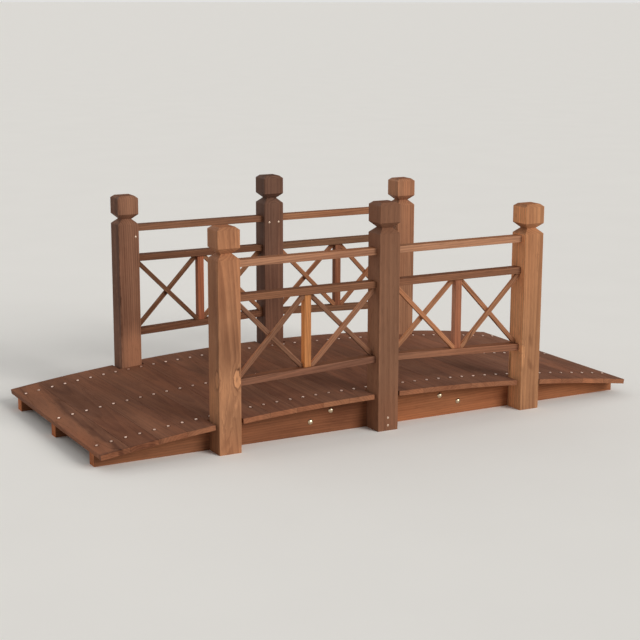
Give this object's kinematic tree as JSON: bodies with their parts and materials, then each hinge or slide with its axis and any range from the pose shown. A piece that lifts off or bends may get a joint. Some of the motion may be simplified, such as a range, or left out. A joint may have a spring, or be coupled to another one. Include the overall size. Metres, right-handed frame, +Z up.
{
  "type": "wooden footbridge",
  "caption": "Small arched wooden footbridge with post-and-rail sides, cross-braced bays and V-necked post heads.",
  "frame": {"origin": "on the ground under the middle of the deck", "axes": "+X along the walk towards the right-hand end, +Y across it towards the far railing, +Z up"},
  "size_m": [1.4642, 0.664, 0.555],
  "materials": {
    "stained_deck_boards": "matt",
    "stained_stringers": "matt",
    "stained_posts": "matt",
    "stained_rails": "matt",
    "stained_braces": "matt"
  },
  "bodies": {
    "root": {"far_left_baluster": "stained_rails", "far_left_bottom_rail": "stained_rails", "far_left_inside_braces": "stained_braces", "far_left_middle_rail": "stained_rails", "far_left_outside_braces": "stained_braces", "far_left_post": "stained_posts", "far_left_top_rail": "stained_rails", "far_middle_post": "stained_posts", "far_right_baluster": "stained_rails", "far_right_bottom_rail": "stained_rails", "far_right_inside_braces": "stained_braces", "far_right_middle_rail": "stained_rails", "far_right_outside_braces": "stained_braces", "far_right_post": "stained_posts", "far_right_top_rail": "stained_rails", "far_stringer_left_half": "stained_stringers", "far_stringer_right_half": "stained_stringers", "far_stringer_tie_board": "stained_stringers", "left_bay_deck_boards": "stained_deck_boards", "left_end_deck_boards": "stained_deck_boards", "left_post_deck_board": "stained_deck_boards", "middle_post_deck_board": "stained_deck_boards", "middle_stringer_left_half": "stained_stringers", "middle_stringer_right_half": "stained_stringers", "near_left_baluster": "stained_rails", "near_left_bottom_rail": "stained_rails", "near_left_inside_braces": "stained_braces", "near_left_middle_rail": "stained_rails", "near_left_outside_braces": "stained_braces", "near_left_post": "stained_posts", "near_left_top_rail": "stained_rails", "near_middle_post": "stained_posts", "near_right_baluster": "stained_rails", "near_right_bottom_rail": "stained_rails", "near_right_inside_braces": "stained_braces", "near_right_middle_rail": "stained_rails", "near_right_outside_braces": "stained_braces", "near_right_post": "stained_posts", "near_right_top_rail": "stained_rails", "near_stringer_left_half": "stained_stringers", "near_stringer_right_half": "stained_stringers", "near_stringer_tie_board": "stained_stringers", "right_bay_deck_boards": "stained_deck_boards", "right_end_deck_boards": "stained_deck_boards", "right_post_deck_board": "stained_deck_boards"}
  },
  "joints": []
}
